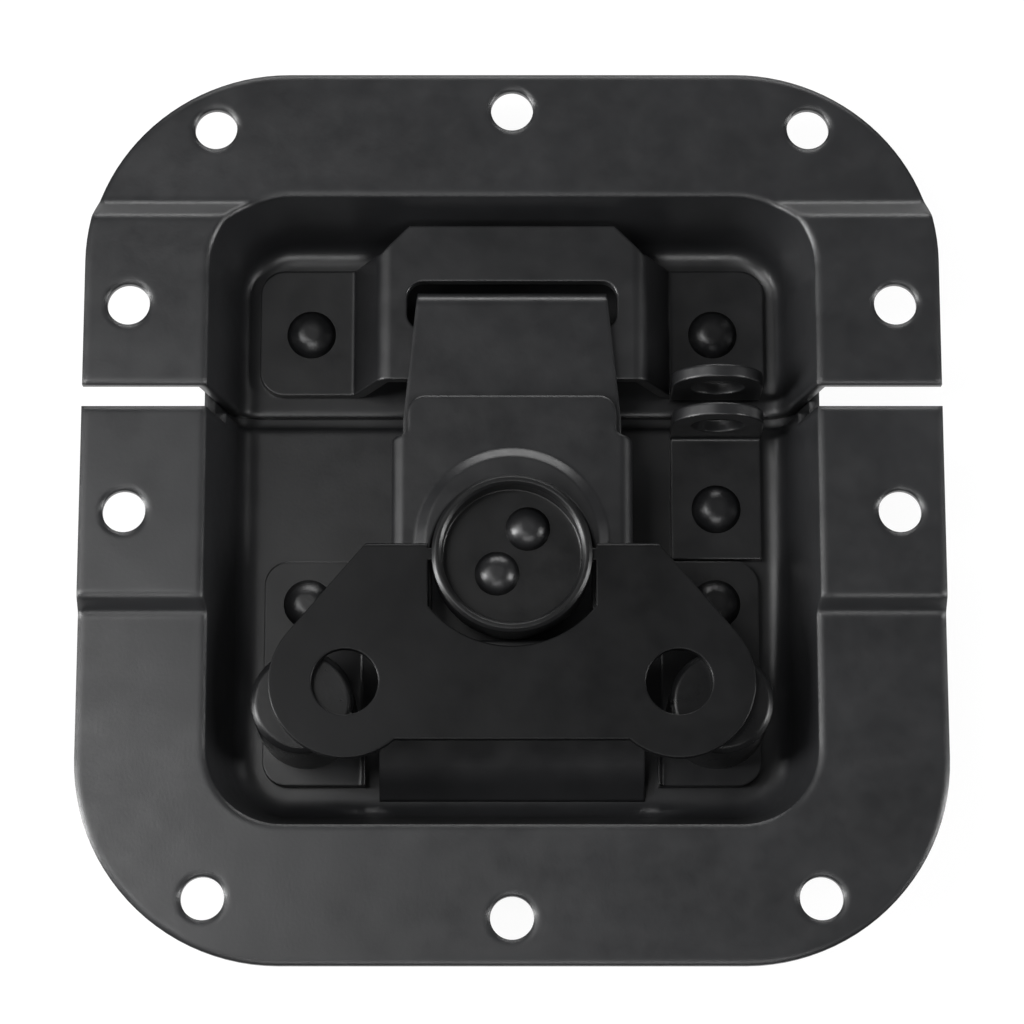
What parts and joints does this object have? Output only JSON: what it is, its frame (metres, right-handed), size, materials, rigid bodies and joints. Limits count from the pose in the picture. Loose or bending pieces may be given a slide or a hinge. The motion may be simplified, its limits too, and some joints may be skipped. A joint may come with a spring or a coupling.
{
  "type": "butterfly case latch",
  "caption": "Recessed butterfly twist latch for a case: joggled two-part dish, folding wing, turning drum, hook and keeper, padlock ears.",
  "frame": {"origin": "middle of the outline in X and Y, at the height of the rivet tails and the tongue under the dish", "axes": "+Z out of the case, towards the user; +Y from the wing towards the keeper; +X to the padlock ears"},
  "size_m": [0.104, 0.11, 0.0193],
  "materials": {
    "black_steel": "satin black coating",
    "spring_steel": "dark oiled steel"
  },
  "bodies": {
    "root": {"upper_dish": "black_steel", "lower_dish": "black_steel", "keeper_plate": "black_steel", "keeper_rivet_left": "black_steel", "keeper_rivet_right": "black_steel", "base_plate": "black_steel", "base_rivet_left": "black_steel", "base_rivet_right": "black_steel", "wing_rest_left": "black_steel", "wing_rest_right": "black_steel", "padlock_bracket": "black_steel", "bracket_rivet": "black_steel", "lift_spring": "spring_steel"},
    "hook": {"hook_plate": "black_steel", "hook_cover": "black_steel"},
    "drum": {"drum_cup": "black_steel", "cam_spindle": "black_steel", "spindle_washer": "spring_steel", "drum_rivet_rear": "black_steel", "drum_rivet_front": "black_steel"},
    "wing": {"wing": "black_steel"}
  },
  "joints": [
    {"name": "drum_turn", "type": "hinge", "parent": "root", "child": "drum", "pos_m": [0, -0.006, 0.0143], "axis": [0, 0, 1], "range_deg": [0, 180]},
    {"name": "hook_swing", "type": "hinge", "parent": "root", "child": "hook", "pos_m": [0, 0, 0.038], "axis": [1, 0, 0], "range_deg": [0, 6.65]},
    {"name": "wing_fold", "type": "hinge", "parent": "drum", "child": "wing", "pos_m": [0, -0.006, 0.01765], "axis": [-1, 0, 0], "range_deg": [0, 90]}
  ],
  "couplings": [
    {"joint": "hook_swing", "follows": "drum_turn", "ratio": 0.036924}
  ]
}
